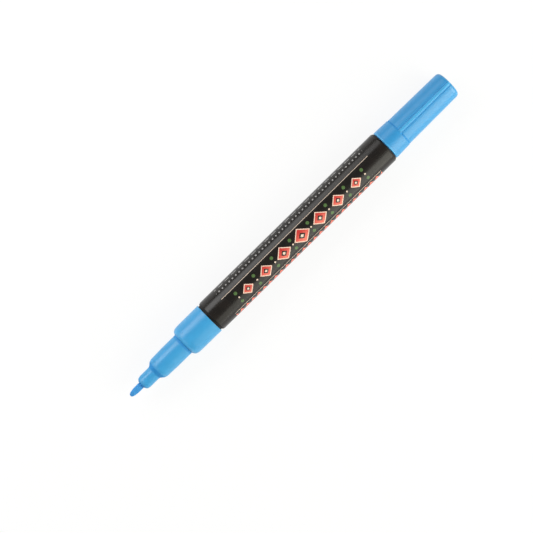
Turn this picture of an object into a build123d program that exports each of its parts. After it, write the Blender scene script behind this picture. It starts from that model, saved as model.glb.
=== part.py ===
"""Liquid chalk marker: a spring valve feeds its nib, and its cap is posted on the tail."""

import os
from math import asin, cos, degrees, dist, radians, sin, sqrt, tau

from build123d import *

# Lengths along the marker, from the tip of the nib to the closed end of the cap
nib_reach = 5.7
nose_length = 5.8
shoulder_length = 2.3
seat_length = 12.0
collar_length = 12.3
lip_length = 0.7
barrel_length = 83.9
cap_length = 30.9

# Outside diameters
nib_diameter = 2.38
nose_diameter = 5.25
seat_diameter = 8.46
collar_diameter = 11.94
label_diameter = 12.24

# Fits: radial gaps round pressed and sliding pieces, and gaps between faces that only meet
press_gap = 0.02
slide_gap = 0.07
stop_gap = 0.1
face_gap = 0.02

# Nib
nib_length = 27.0
nib_tip_length = 2.8
nib_end_chamfer = 0.2

# Front section: nose, shoulder, cap seat, collar, and a spigot that plugs into the barrel
nose_round = 1.0
nose_root_round = 0.4
nose_bore_length = 8.4
shoulder_round = 3.0
seat_lead_length = 5.2
seat_lead_drop = 0.1
collar_round = 1.5
collar_draft = 0.05
collar_back_round = 0.15
spigot_length = 7.5
spigot_wall = 1.1
spigot_chamfer = 0.3
spigot_bead_setback = 4.6
guide_count = 4
guide_length = 8.0
guide_thickness = 0.8
guide_gap = 0.2
guide_root = 0.4

# Barrel and the film sleeve round it
barrel_wall = 1.0
barrel_front_round = 0.5
barrel_back_round = 0.45
lip_depth = 0.55
label_thickness = 0.14
label_front_inset = 0.6
label_back_inset = 0.6
label_seam_angle = 1.5
bead_width = 1.2
bead_height = 0.3

# Tail plug with the post that the cap sits on
plug_length = 8.0
plug_wall = 1.2
plug_chamfer = 0.4
plug_bead_setback = 4.0
flange_thickness = 0.8
flange_step = 0.45
post_length = 8.5
post_round = 0.9

# Mixing ball
ball_diameter = 6.0
ball_gap = 0.05
ball_end_gap = 0.4

# Valve behind the nib
valve_setback = 8.0
valve_seat_thickness = 2.4
valve_ledge = 1.15
valve_gap = 0.05
valve_travel = 1.5
ink_gap = 0.45
case_wall = 0.8
case_flange_thickness = 0.9
case_flange_step = 0.65
case_cage_length = 5.0
case_end_thickness = 1.2
window_count = 4
window_width = 1.9
window_margin = 0.4
stem_diameter = 2.0
stem_head_thickness = 1.0
stem_boss_length = 0.9
stem_boss_gap = 0.15
stem_tail_length = 0.8
stem_chamfer = 0.25
spring_gap = 0.35
spring_wire = 0.5
spring_turns = 5

# Cap
cap_mouth_wall = 1.52
cap_ring_wall = 1.31
cap_end_wall = 1.07
cap_ring_length = 6.5
cap_bore_depth = 13.4
cap_end_thickness = 1.8
cap_end_round = 1.2
cap_mouth_round = 0.25
cap_lead_chamfer = 0.35
panel_recess = 0.16
rib_count = 3
rib_width = 1.4

# Inner seal of the cap
seal_step = 0.45
seal_wall = 0.75
seal_end_thickness = 0.8
seal_throat_length = 2.0
seal_lead_length = 0.9
seal_lead_height = 0.75

# Reach of a cut past the faces that it opens
cut_overrun = 1.0

# Stations behind the tip of the nib
nose_start = nib_reach
shoulder_start = nose_start + nose_length
seat_start = shoulder_start + shoulder_length
collar_start = seat_start + seat_length
lip_start = collar_start + collar_length
barrel_start = lip_start + lip_length
barrel_end = barrel_start + barrel_length
cap_start = barrel_end + stop_gap
cap_end = cap_start + cap_length

# Radii
nib_radius = nib_diameter / 2
nose_radius = nose_diameter / 2
seat_radius = seat_diameter / 2
collar_radius = collar_diameter / 2
label_radius = label_diameter / 2
stem_radius = stem_diameter / 2
ball_radius = ball_diameter / 2
barrel_radius = label_radius - label_thickness - press_gap
lip_radius = barrel_radius - lip_depth
bore_radius = barrel_radius - barrel_wall
spigot_radius = bore_radius - press_gap
valve_bore_radius = spigot_radius - spigot_wall
chamber_radius = valve_bore_radius - valve_ledge
case_radius = valve_bore_radius - press_gap
case_bore_radius = case_radius - case_wall
spring_outer_radius = case_bore_radius - spring_gap
spring_radius = spring_outer_radius - spring_wire / 2
cap_bore_radius = seat_radius + slide_gap
seal_bore_radius = cap_bore_radius - seal_step

# The marker lies along X on the surface under its label, nib towards -X
axis_height = label_radius
tip_x = -cap_end / 2
marker_axis = Axis((tip_x, 0, axis_height), (1, 0, 0))


def lengthwise(angle):
    """Plane through the marker's axis, station along x and radius along y, turned from straight up."""
    normal = (0, -cos(radians(angle)), -sin(radians(angle)))
    return Plane(origin=(tip_x, 0, axis_height), x_dir=(1, 0, 0), z_dir=normal)


def crosswise(station, angle=0):
    """Plane square to the marker's axis, that far behind the tip of the nib, turned about the axis."""
    across = (0, cos(radians(angle)), sin(radians(angle)))
    return Plane(origin=(tip_x + station, 0, axis_height), x_dir=across, z_dir=(1, 0, 0))


def turned_outline(*corners):
    """Closed outline through (station, radius, rounding) corners, to be turned about the axis."""
    points = [(station, radius) for station, radius, rounding in corners]
    roundings = [rounding for station, radius, rounding in corners]
    FilletPolyline(*points, radius=roundings, close=True)


def snap_bead(station, radius, width):
    """Corners of a bead with sloping flanks that stands on a turned face, from front to back."""
    front, back = station - width / 2, station + width / 2
    return [
        (front, radius, 0),
        (front + bead_height, radius + bead_height, 0),
        (back - bead_height, radius + bead_height, 0),
        (back, radius, 0),
    ]


# Nib: a fibre rod with a blunt, rounded tip
with BuildPart() as nib:
    with BuildSketch(lengthwise(0)):
        with BuildLine():
            EllipticalCenterArc((nib_tip_length, 0), nib_tip_length, nib_radius, 90, arc_size=90)
            Polyline(
                (nib_tip_length, nib_radius),
                (nib_length - nib_end_chamfer, nib_radius),
                (nib_length, nib_radius - nib_end_chamfer),
                (nib_length, 0),
                (0, 0),
            )
        make_face()
    revolve(axis=marker_axis)

# Front section: one moulding, bored for the nib in front and for the valve behind
nose_bore_radius = nib_radius + slide_gap
chamber_start = nose_start + nose_bore_length
valve_start = collar_start + valve_setback
spigot_end = lip_start + spigot_length
spigot_bead_station = lip_start + spigot_bead_setback
seat_land_start = seat_start + seat_lead_length
seat_lead_radius = seat_radius - seat_lead_drop
guide_radius = nib_radius + guide_gap
with BuildPart() as front_section:
    with BuildSketch(lengthwise(0)):
        with BuildLine():
            turned_outline(
                (nose_start, nose_bore_radius, 0),
                (nose_start, nose_radius, nose_round),
                (shoulder_start, nose_radius, nose_root_round),
                (seat_start, seat_lead_radius, shoulder_round),
                (seat_land_start, seat_radius, 0),
                (collar_start, seat_radius, 0),
                (collar_start, collar_radius - collar_draft, collar_round),
                (lip_start, collar_radius, collar_back_round),
                (lip_start, spigot_radius, 0),
                *snap_bead(spigot_bead_station, spigot_radius, bead_width),
                (spigot_end - spigot_chamfer, spigot_radius, 0),
                (spigot_end, spigot_radius - spigot_chamfer, 0),
                (spigot_end, valve_bore_radius, 0),
                (valve_start, valve_bore_radius, 0),
                (valve_start, chamber_radius, 0),
                (chamber_start, chamber_radius, 0),
                (chamber_start, nose_bore_radius, 0),
            )
        make_face()
    revolve(axis=marker_axis)
    # Ribs that hold the nib on the axis, with room for ink between them
    with BuildSketch(crosswise(chamber_start)):
        with PolarLocations(guide_radius, guide_count):
            Rectangle(
                chamber_radius + guide_root - guide_radius,
                guide_thickness,
                align=(Align.MIN, Align.CENTER),
            )
    extrude(amount=guide_length)

# Barrel: the ink tube, with a lip that shows as a groove behind the collar, and grooves in its
# bore that the beads of the front section and the tail plug snap into
flange_radius = bore_radius + flange_step
plug_start = barrel_end - flange_thickness - plug_length
plug_bead_station = plug_start + plug_bead_setback
groove_width = bead_width + 2 * press_gap
with BuildPart() as barrel:
    with BuildSketch(lengthwise(0)):
        with BuildLine():
            turned_outline(
                (lip_start, bore_radius, 0),
                (lip_start, lip_radius, 0),
                (barrel_start, lip_radius, 0),
                (barrel_start, barrel_radius, barrel_front_round),
                (barrel_end, barrel_radius, barrel_back_round),
                (barrel_end, flange_radius + press_gap, 0),
                (barrel_end - flange_thickness, flange_radius + press_gap, 0),
                (barrel_end - flange_thickness, bore_radius, 0),
                *reversed(snap_bead(plug_bead_station, bore_radius, groove_width)),
                *reversed(snap_bead(spigot_bead_station, bore_radius, groove_width)),
            )
        make_face()
    revolve(axis=marker_axis)

# Label sleeve: thin film shrunk round the barrel
label_start = barrel_start + label_front_inset
label_end = barrel_end - label_back_inset
with BuildPart() as label_sleeve:
    with BuildSketch(crosswise(label_start, label_seam_angle)):
        Circle(label_radius)
        Circle(label_radius - label_thickness, mode=Mode.SUBTRACT)
    extrude(amount=label_end - label_start)

# Tail plug: pressed into the barrel up to its flange, hollow, with the cap's post behind
post_end = barrel_end + post_length
plug_bore_radius = spigot_radius - plug_wall
post_bore_radius = seat_radius - plug_wall
with BuildPart() as tail_plug:
    with BuildSketch(lengthwise(0)):
        with BuildLine():
            turned_outline(
                (plug_start, plug_bore_radius, 0),
                (plug_start, spigot_radius - plug_chamfer, 0),
                (plug_start + plug_chamfer, spigot_radius, 0),
                *snap_bead(plug_bead_station, spigot_radius, bead_width),
                (barrel_end - flange_thickness, spigot_radius, 0),
                (barrel_end - flange_thickness, flange_radius, 0),
                (barrel_end, flange_radius, 0),
                (barrel_end, seat_radius, 0),
                (post_end, seat_radius, post_round),
                (post_end, 0, 0),
                (post_end - plug_wall, 0, 0),
                (post_end - plug_wall, post_bore_radius, 0),
                (barrel_end, post_bore_radius, 0),
                (barrel_end - flange_thickness, plug_bore_radius, 0),
            )
        make_face()
    revolve(axis=marker_axis)

# Valve seat: rubber ring against the ledge in the front section, countersunk for the stem
seat_bore_radius = stem_radius + ink_gap
valve_end = valve_start + valve_seat_thickness
cone_length = spring_outer_radius - seat_bore_radius
with BuildPart() as valve_seat:
    with BuildSketch(lengthwise(0)):
        with BuildLine():
            turned_outline(
                (valve_start, seat_bore_radius, 0),
                (valve_start, case_radius, 0),
                (valve_end, case_radius, 0),
                (valve_end, spring_outer_radius, 0),
                (valve_end - cone_length, seat_bore_radius, 0),
            )
        make_face()
    revolve(axis=marker_axis)

# Valve case: holds the seat in place, and lets ink in through the windows of its cage
cage_start = spigot_end + case_flange_thickness
case_end = cage_start + case_cage_length
case_floor = case_end - case_end_thickness
window_start = cage_start + window_margin
window_length = case_floor - window_margin - window_start
guide_bore_radius = stem_radius + slide_gap
with BuildPart() as valve_case:
    with BuildSketch(lengthwise(0)):
        with BuildLine():
            turned_outline(
                (valve_end, case_bore_radius, 0),
                (valve_end, case_radius, 0),
                (spigot_end, case_radius, 0),
                (spigot_end, case_radius + case_flange_step, 0),
                (cage_start, case_radius + case_flange_step, 0),
                (cage_start, case_radius, 0),
                (case_end, case_radius, case_wall / 2),
                (case_end, guide_bore_radius, 0),
                (case_floor, guide_bore_radius, 0),
                (case_floor, case_bore_radius, 0),
            )
        make_face()
    revolve(axis=marker_axis)
    with BuildSketch(crosswise(window_start)):
        with PolarLocations(case_radius, window_count):
            Rectangle(2 * case_wall + spring_gap, window_width)
    extrude(amount=window_length, mode=Mode.SUBTRACT)

# Valve stem: its cone closes the seat, its rod meets the nib, its tail runs in the case
cone_start = valve_end - cone_length + valve_gap - ink_gap
head_start = valve_end + valve_gap
head_end = head_start + stem_head_thickness
boss_radius = spring_radius - spring_wire / 2 - stem_boss_gap
stem_end = case_end + stem_tail_length
with BuildPart() as valve_stem:
    with BuildSketch(lengthwise(0)):
        with BuildLine():
            turned_outline(
                (nib_length, 0, 0),
                (nib_length, stem_radius - stem_chamfer, 0),
                (nib_length + stem_chamfer, stem_radius, 0),
                (cone_start, stem_radius, 0),
                (head_start, spring_outer_radius, 0),
                (head_end, spring_outer_radius, 0),
                (head_end, boss_radius, 0),
                (head_end + stem_boss_length, stem_radius, 0),
                (stem_end - stem_chamfer, stem_radius, 0),
                (stem_end, stem_radius - stem_chamfer, 0),
                (stem_end, 0, 0),
            )
        make_face()
    revolve(axis=marker_axis)

# Valve spring: one open coil between the head of the stem and the floor of the case
coil_start = head_end + face_gap + spring_wire / 2
coil_pitch = (case_floor - face_gap - spring_wire / 2 - coil_start) / spring_turns


def coil_point(turn):
    """Point of the coil's centre line after so many turns."""
    x = tip_x + coil_start + coil_pitch * turn
    return Vector(x, spring_radius * cos(tau * turn), axis_height + spring_radius * sin(tau * turn))


def coil_direction(turn):
    """Direction of the coil's centre line after so many turns."""
    around = tau * spring_radius
    return Vector(coil_pitch, -around * sin(tau * turn), around * cos(tau * turn)).normalized()


def coil_arcs(turn, next_turn):
    """Two arcs that meet in line, from one point of the coil to another."""
    start, end = coil_point(turn), coil_point(next_turn)
    leave, arrive = coil_direction(turn), coil_direction(next_turn)
    chord = end - start
    along = chord.dot(leave + arrive)
    bend = 2 * (1 - leave.dot(arrive))
    reach = (sqrt(along**2 + bend * chord.dot(chord)) - along) / bend
    start_handle = start + leave * reach
    end_handle = end - arrive * reach
    middle = (start_handle + end_handle) / 2
    TangentArc(start, middle, tangent=leave)
    TangentArc(middle, end, tangent=end_handle - start_handle)


spans_per_turn = 3
with BuildPart() as valve_spring:
    with BuildLine():
        for span in range(spring_turns * spans_per_turn):
            coil_arcs(span / spans_per_turn, (span + 1) / spans_per_turn)
    with BuildSketch(Plane(origin=coil_point(0), z_dir=coil_direction(0))):
        Circle(spring_wire / 2)
    sweep()

samples_per_turn = 24
coil_samples = [tuple(coil_point(n / samples_per_turn)) for n in range(spring_turns * samples_per_turn + 1)]
least_gap = min(
    dist(one, other)
    for n, one in enumerate(coil_samples)
    for other in coil_samples[n + samples_per_turn // 2 :]
) - spring_wire
print(f"valve spring: least gap to itself {least_gap:.2f} mm")

# Mixing ball: loose in the ink, resting on the barrel's wall half-way along its run
ball_run_start = stem_end + valve_travel + ball_end_gap + ball_radius
ball_run_end = plug_start - ball_end_gap - ball_radius
ball_station = (ball_run_start + ball_run_end) / 2
ball_height = axis_height - bore_radius + ball_radius + ball_gap
with BuildPart(Plane(origin=(tip_x + ball_station, 0, ball_height))) as mixing_ball:
    Sphere(ball_radius)

# Cap: a round ring at the mouth, then recessed panels between ribs that run to the end
cap_mouth_radius = cap_bore_radius + cap_mouth_wall
ring_end = cap_start + cap_ring_length
ring_radius = cap_bore_radius + cap_ring_wall
rib_end_radius = cap_bore_radius + cap_end_wall
panel_start_radius = ring_radius - panel_recess
panel_end_radius = rib_end_radius - panel_recess
cap_bore_end = cap_start + cap_bore_depth
cap_floor = cap_end - cap_end_thickness
rib_half_arc = degrees(asin(rib_width / 2 / ring_radius))
rib_spacing = 360 / rib_count
with BuildPart() as cap:
    with BuildSketch(lengthwise(0)):
        with BuildLine():
            turned_outline(
                (cap_start, cap_bore_radius + cap_lead_chamfer, 0),
                (cap_start, cap_mouth_radius, cap_mouth_round),
                (ring_end, ring_radius, 0),
                (cap_end, rib_end_radius, cap_end_round),
                (cap_end, 0, 0),
                (cap_floor, 0, 0),
                (cap_floor, seal_bore_radius, 0),
                (cap_bore_end, seal_bore_radius, 0),
                (cap_bore_end, cap_bore_radius, 0),
                (cap_start + cap_lead_chamfer, cap_bore_radius, 0),
            )
        make_face()
    revolve(axis=marker_axis)
    for rib in range(rib_count):
        with BuildSketch(lengthwise(rib * rib_spacing + rib_half_arc)):
            with BuildLine():
                turned_outline(
                    (ring_end, panel_start_radius, 0),
                    (cap_end, panel_end_radius, cap_end_round),
                    (cap_end, panel_end_radius - cap_end_round - panel_recess, 0),
                    (cap_end + cut_overrun, panel_end_radius - cap_end_round - panel_recess, 0),
                    (cap_end + cut_overrun, ring_radius + cut_overrun, 0),
                    (ring_end, ring_radius + cut_overrun, 0),
                )
            make_face()
        revolve(axis=marker_axis, revolution_arc=rib_spacing - 2 * rib_half_arc, mode=Mode.SUBTRACT)

# Inner seal: a cup in the cap whose throat closes round the nose
seal_radius = seal_bore_radius - press_gap
seal_throat_radius = nose_radius + slide_gap
seal_cup_radius = seal_radius - seal_wall
seal_end = cap_floor - face_gap
seal_cup_start = cap_bore_end + seal_lead_length + seal_throat_length
seal_cup_flare = seal_cup_radius - seal_throat_radius
with BuildPart() as cap_inner_seal:
    with BuildSketch(lengthwise(0)):
        with BuildLine():
            turned_outline(
                (cap_bore_end, seal_throat_radius + seal_lead_height, 0),
                (cap_bore_end, seal_radius, 0),
                (seal_end, seal_radius, seal_wall / 2),
                (seal_end, 0, 0),
                (seal_end - seal_end_thickness, 0, 0),
                (seal_end - seal_end_thickness, seal_cup_radius, 0),
                (seal_cup_start + seal_cup_flare, seal_cup_radius, 0),
                (seal_cup_start, seal_throat_radius, 0),
                (cap_bore_end + seal_lead_length, seal_throat_radius, 0),
            )
        make_face()
    revolve(axis=marker_axis)

pieces = {
    "nib": nib,
    "front_section": front_section,
    "barrel": barrel,
    "label_sleeve": label_sleeve,
    "tail_plug": tail_plug,
    "valve_seat": valve_seat,
    "valve_case": valve_case,
    "valve_stem": valve_stem,
    "valve_spring": valve_spring,
    "mixing_ball": mixing_ball,
    "cap": cap,
    "cap_inner_seal": cap_inner_seal,
}
os.makedirs("parts", exist_ok=True)
for name, piece in pieces.items():
    piece.part.label = name
    export_step(piece.part, f"parts/{name}.step")
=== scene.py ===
"""Dresses the chalk marker: mouldings, printed film, fibre nib, ribbed cap and a white studio."""

import math
from functools import partial

import bmesh
import bpy
import numpy as np
from bpy.props import FloatProperty, FloatVectorProperty, IntProperty, PointerProperty
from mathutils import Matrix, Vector


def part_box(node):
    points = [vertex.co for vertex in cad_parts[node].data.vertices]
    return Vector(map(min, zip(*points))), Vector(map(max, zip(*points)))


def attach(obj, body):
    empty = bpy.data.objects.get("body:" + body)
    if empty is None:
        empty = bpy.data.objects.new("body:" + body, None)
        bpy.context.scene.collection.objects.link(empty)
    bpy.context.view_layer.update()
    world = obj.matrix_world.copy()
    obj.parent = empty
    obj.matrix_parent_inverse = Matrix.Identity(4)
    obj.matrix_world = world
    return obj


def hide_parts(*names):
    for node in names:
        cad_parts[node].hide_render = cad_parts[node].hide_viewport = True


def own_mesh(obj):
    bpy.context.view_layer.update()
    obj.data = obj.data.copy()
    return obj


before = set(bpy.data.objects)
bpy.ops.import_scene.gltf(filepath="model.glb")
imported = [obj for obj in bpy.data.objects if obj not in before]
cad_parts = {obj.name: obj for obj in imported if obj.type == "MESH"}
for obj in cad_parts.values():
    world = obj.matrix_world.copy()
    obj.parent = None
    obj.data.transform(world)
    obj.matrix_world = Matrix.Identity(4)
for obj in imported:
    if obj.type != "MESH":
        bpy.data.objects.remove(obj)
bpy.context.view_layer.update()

bl_info = {
    "name": "Chalk marker",
    "version": (1, 0, 0),
    "blender": (4, 5, 0),
    "location": "View3D > Sidebar > Marker",
    "description": "Builds the looks of a liquid chalk marker round its CAD frame",
    "category": "Add Mesh",
}

MM = 0.001
TAU = 2 * math.pi
FINE_EDGE = 0.05 * MM
TOO_SMALL = FINE_EDGE / 100
ARC_STEPS = 6
SIDES = 144
PHOTO_PIXELS = 533
SENSOR_WIDTH = 36.0


def ends(node):
    """Where a node starts and ends along the marker."""
    low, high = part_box(node)
    return low.x, high.x


def girth(node):
    """Outer radius of a turned node."""
    low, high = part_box(node)
    return (high.z - low.z) / 2


AXIS_HEIGHT = sum(corner.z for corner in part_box("label_sleeve")) / 2


def length(millimetres, about):
    """A size."""
    default = millimetres * MM
    return partial(FloatProperty, description=about, default=default, unit="LENGTH", precision=5)


def share(value, about):
    """A plain number from nothing to one."""
    return partial(
        FloatProperty, description=about, default=value, min=0, max=1, subtype="FACTOR"
    )


def level(value, about):
    """A plain number from nothing up."""
    return partial(FloatProperty, description=about, default=value, min=0)


def count(number, about, least=1):
    """A whole number."""
    return partial(IntProperty, description=about, default=number, min=least)


def angle(degrees, about):
    """An angle."""
    default = math.radians(degrees)
    return partial(FloatProperty, description=about, default=default, unit="ROTATION")


def linear(byte):
    """A screen value from 0 to 255 as linear light."""
    value = byte / 255
    return value / 12.92 if value <= 0.04045 else ((value + 0.055) / 1.055) ** 2.4


def colour(red, green, blue, about):
    """A colour, given as it looks on a screen."""
    seen = tuple(linear(byte) for byte in (red, green, blue))
    return partial(
        FloatVectorProperty, description=about, default=seen, subtype="COLOR", min=0, max=1
    )


def labelled(group):
    """Makes a group's settings, each shown under its own name in words."""
    for field, setting in list(group.__annotations__.items()):
        group.__annotations__[field] = setting(name=field.replace("_", " ").capitalize())
    return group


@labelled
class NibSizes(bpy.types.PropertyGroup):
    tip_length: length(3.4, "How far the rounded tip reaches back")
    tip_bluntness: share(0.72, "How blunt the tip is: a lower share is blunter")
    end_chamfer: length(0.2, "Chamfer of the end inside the marker")
    fibre_depth: length(0.008, "Depth of the grooves between the fibres")
    fibre_count: count(38, "Fibres round the nib", least=3)


@labelled
class FrontSizes(bpy.types.PropertyGroup):
    nose_radius: length(2.625, "Radius of the nose that carries the nib")
    nose_length: length(5.9, "Length of the nose")
    nose_root_round: length(1.2, "Rounding where the nose meets the shoulder")
    face_lead: length(0.25, "How far the narrow face round the nib stands forward")
    face_radius: length(1.58, "Radius of the narrow face round the nib")
    crown_length: length(0.6, "Length of the nose's steep front")
    crown_radius: length(2.4, "Radius where the nose's steep front ends")
    crown_round: length(0.8, "Rounding of that end")
    taper_length: length(1.75, "Length over which the nose grows to its full radius")
    taper_round: length(1.5, "Rounding where the nose has its full radius")
    mouth_radius: length(1.42, "Radius of the countersink round the nib")
    mouth_depth: length(0.7, "Depth of the countersink round the nib")
    mouth_round: length(0.1, "Rounding of the countersink's edge")
    bore_radius: length(1.26, "Radius of the nib's bore")
    cone_length: length(1.25, "Length of the steep cone behind the nose")
    cone_radius: length(3.7, "Radius at the cone's edge")
    shoulder_length: length(2.2, "Length from the nose to the cap seat")
    shoulder_round: length(2.0, "Rounding from the shoulder to the cap seat")
    seat_radius: length(4.23, "Radius of the seat that the cap grips")
    seat_lead_drop: length(0.15, "How much thinner the seat starts")
    seat_lead_length: length(5.2, "Length of the seat's tapered start")
    seat_length: length(12.0, "Length of the cap seat")
    root_lead: length(0.25, "How far before the collar its steep front rises from the seat")
    root_round: length(0.15, "Rounding where the collar rises from the seat")
    step_length: length(0.35, "Length of the collar's steep front")
    step_drop: length(0.62, "How much thinner the collar is where its steep front ends")
    step_round: length(0.8, "Rounding of that end")
    brow_length: length(1.3, "Length of the collar's sloping brow")
    brow_drop: length(0.17, "How much thinner the collar is where its brow ends")
    brow_round: length(1.5, "Rounding of the brow's end")
    draft_length: length(2.6, "Length to where the collar is nearly full")
    collar_draft: length(0.05, "How much thinner the collar is there")
    collar_back_round: length(0.06, "Rounding of the collar's back edge")
    spigot_radius: length(4.94, "Radius of the part inside the barrel")
    spigot_length: length(7.35, "Length of the part inside the barrel")
    spigot_chamfer: length(0.3, "Chamfer of the spigot's end")
    valve_radius: length(3.84, "Radius of the bore for the valve")
    valve_depth: length(11.8, "Depth of the bore for the valve")
    chamber_radius: length(2.69, "Radius of the ink chamber behind the nose")
    chamber_setback: length(8.4, "Distance from the nose's face to the chamber")
    bead_setback: length(4.45, "Distance from the collar to the middle of the spigot's bead")
    guide_length: length(8.0, "Length of the guides that hold the nib on the axis")
    guide_radius: length(1.39, "How near the guides come to the axis")
    guide_thickness: length(0.8, "Thickness of a guide")
    guide_count: count(4, "Guides round the nib")


@labelled
class BeadSizes(bpy.types.PropertyGroup):
    width: length(1.2, "Width of a snap bead at its foot")
    height: length(0.3, "Height of a snap bead")
    gap: length(0.02, "Gap between a bead and its groove")


@labelled
class BarrelSizes(bpy.types.PropertyGroup):
    lip_setback: length(0.15, "How far the lip starts behind the front end of the CAD tube")
    lip_length: length(0.55, "Length of the thin lip behind the collar")
    lip_depth: length(0.45, "Depth of the lip below the barrel")
    wall: length(1.0, "Thickness of the ink tube's wall")
    front_round: length(0.7, "Rounding of the barrel's front edge")
    back_round: length(0.55, "Rounding of the barrel's back edge")
    flange_step: length(0.47, "Step in the bore that takes the tail's flange")
    flange_thickness: length(0.8, "Depth of that step")
    front_groove: length(4.45, "Distance from the lip to the front groove in the bore")
    back_groove: length(4.8, "Distance from the back end to the back groove in the bore")


@labelled
class FilmSizes(bpy.types.PropertyGroup):
    thickness: length(0.14, "Thickness of the printed film")
    edge_round: length(0.05, "Rounding of the film's cut edges")
    chain_offset: length(-2.1, "Where the chain of lozenges sits round the barrel, from the top")
    chain_pitch: length(8.6, "Distance between lozenges")
    lozenge_reach: length(3.6, "Half the length of the middle lozenge")
    lozenge_rise: length(3.2, "Half the height of the middle lozenge")
    chain_half: count(3, "Lozenges on each side of the middle one", least=0)
    line_offset: length(3.85, "Distance of the fine lines from the chain")
    bead_row: length(6.8, "Distance of the row of beads above the chain")
    dash_row: length(8.8, "Distance of the row of dashes above the chain")
    point_row: length(4.4, "Distance of the row of points below the chain")
    run: length(35.0, "Half the length of the printed rows")


@labelled
class TailSizes(bpy.types.PropertyGroup):
    plug_length: length(8.0, "Length of the plug inside the barrel")
    plug_chamfer: length(0.4, "Lead chamfer of the plug")
    wall: length(1.2, "Thickness of the hollow plug's wall")
    flange_thickness: length(0.8, "Thickness of the flange that closes the barrel")
    flange_radius: length(5.41, "Radius of the flange that closes the barrel")
    plug_radius: length(4.94, "Radius of the plug inside the barrel")
    post_radius: length(4.23, "Radius of the post that the cap sits on")
    post_round: length(0.9, "Rounding of the post's end")
    bead_setback: length(4.0, "Distance from the plug's front to the middle of its bead")


@labelled
class CapSizes(bpy.types.PropertyGroup):
    bore_radius: length(4.3, "Radius of the cap's bore")
    bore_depth: length(13.4, "Depth of the cap's bore")
    lead_chamfer: length(0.35, "Chamfer inside the mouth")
    mouth_setback: length(0.12, "How far the mouth starts behind the front end of the CAD cap")
    mouth_radius: length(5.82, "Outer radius at the mouth")
    mouth_round: length(0.3, "Rounding of the mouth's outer edge")
    ring_length: length(6.5, "Length of the plain ring at the mouth")
    ring_radius: length(5.61, "Outer radius at the end of the ring")
    end_radius: length(5.37, "Outer radius over the ribs at the closed end")
    end_round: length(1.35, "Rounding of the closed end's edge")
    end_thickness: length(1.8, "Thickness of the closed end")
    end_crown: length(0.06, "How far the closed end stands out in its middle")
    gate_radius: length(0.9, "Radius of the moulding gate's dimple in the closed end")
    gate_depth: length(0.2, "Depth of the moulding gate's dimple")
    liner_radius: length(3.85, "Radius of the bore that holds the liner")
    recess: length(0.16, "Depth of the panels between the ribs")
    rib_half_width: length(0.62, "Half the width of a rib's rounded crest")
    rib_crest_radius: length(1.6, "Radius of a rib's rounded crest")
    rib_edge: length(0.12, "Width over which a rib's flank falls")
    groove_depth: length(0.09, "Depth of the groove along a rib, below the panel")
    groove_width: length(0.16, "Width of the groove along a rib")
    groove_fade: length(0.3, "Width over which a groove rises to the panel")
    groove_place: length(0.9, "Distance of a groove from the middle of its rib")
    step_width: length(0.1, "Width over which the ring falls to the panels")
    channel_width: length(0.22, "Width of the channel at the foot of the ring")
    rib_count: count(3, "Ribs round the cap")


@labelled
class LinerSizes(bpy.types.PropertyGroup):
    wall: length(0.75, "Thickness of the cup's wall")
    end_thickness: length(0.8, "Thickness of the cup's floor")
    throat_radius: length(2.695, "Radius of the throat that closes round the nose")
    throat_length: length(2.0, "Length of the throat")
    lead_length: length(0.9, "Length of the cone that guides the nose in")
    lead_height: length(0.75, "Height of the cone that guides the nose in")


@labelled
class SpringSizes(bpy.types.PropertyGroup):
    wire_radius: length(0.25, "Radius of the spring's wire")
    turns: count(5, "Turns of the spring")
    travel: length(1.5, "How far the nib presses the spring together")


@labelled
class MarkerColours(bpy.types.PropertyGroup):
    blue: colour(58, 158, 214, "Moulded front, cap and tail")
    blue_deep: colour(53, 152, 209, "Slightly denser streaks in the blue plastic")
    blue_dense: colour(44, 143, 204, "The cap, where the blue plastic is thicker")
    # Painted shade for the inner corners, grooves and channels of the blue plastic.
    blue_painted_shade: colour(22, 138, 206, "Inner corners of the blue plastic")
    # Painted highlight for the rounded edges and rib crests of the blue plastic.
    blue_painted_highlight: colour(70, 168, 222, "Worn edges of the blue plastic")
    nib: colour(67, 152, 216, "Fibre soaked with blue pigment")
    nib_dark: colour(54, 139, 206, "Grooves between the fibres and the wet tip")
    # Painted shade on the nib's root, where it goes into the nose.
    nib_painted_root_shade: colour(34, 116, 194, "The nib's root, where ink gathers at the nose")
    black: colour(22, 18, 15, "Ink tube")
    film: colour(27, 22, 18, "Ground of the printed film")
    coral: colour(196, 52, 48, "Upper tone of the lozenges")
    coral_light: colour(232, 112, 92, "Lower tone of the lozenges")
    cream: colour(238, 216, 196, "Outlines, fine lines and small marks")
    chalk: colour(168, 166, 164, "Rows of beads and dashes")
    leaf: colour(82, 112, 62, "Dots between the lozenges")
    white: colour(224, 224, 217, "Liner and valve mouldings")
    rubber: colour(34, 34, 36, "Valve seat")
    wire: colour(170, 170, 172, "Drawn steel wire")
    ball: colour(196, 197, 200, "Polished steel ball")


@labelled
class StageSizes(bpy.types.PropertyGroup):
    camera_x: length(-12.17, "Where the camera stands along the marker")
    camera_y: length(-1.05, "Where the camera stands across the marker")
    camera_height: length(659.0, "Height of the camera over the floor")
    camera_turn: angle(-44.49, "How far the picture is turned about the vertical")
    focal_pixels: level(1894.5, "Focal length in picture pixels")
    floor_radius: length(900.0, "Radius of the flat part of the floor")
    sweep_radius: length(320.0, "Radius of the floor's upturned rim")
    floor_lift: share(0.88, "Share of the floor's white that doesn't depend on the lamps")
    key_level: level(3.3, "Brightness of the lamps behind")
    fill_level: level(2.35, "Brightness of the lamp in front")
    side_level: level(2.7, "Brightness of the lamps past the cap and the nib")
    dome_level: level(0.26, "Brightness of the room above")


SETTINGS = {
    "marker_nib": NibSizes,
    "marker_front": FrontSizes,
    "marker_bead": BeadSizes,
    "marker_barrel": BarrelSizes,
    "marker_film": FilmSizes,
    "marker_tail": TailSizes,
    "marker_cap": CapSizes,
    "marker_liner": LinerSizes,
    "marker_spring": SpringSizes,
    "marker_colours": MarkerColours,
    "marker_stage": StageSizes,
}


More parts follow.
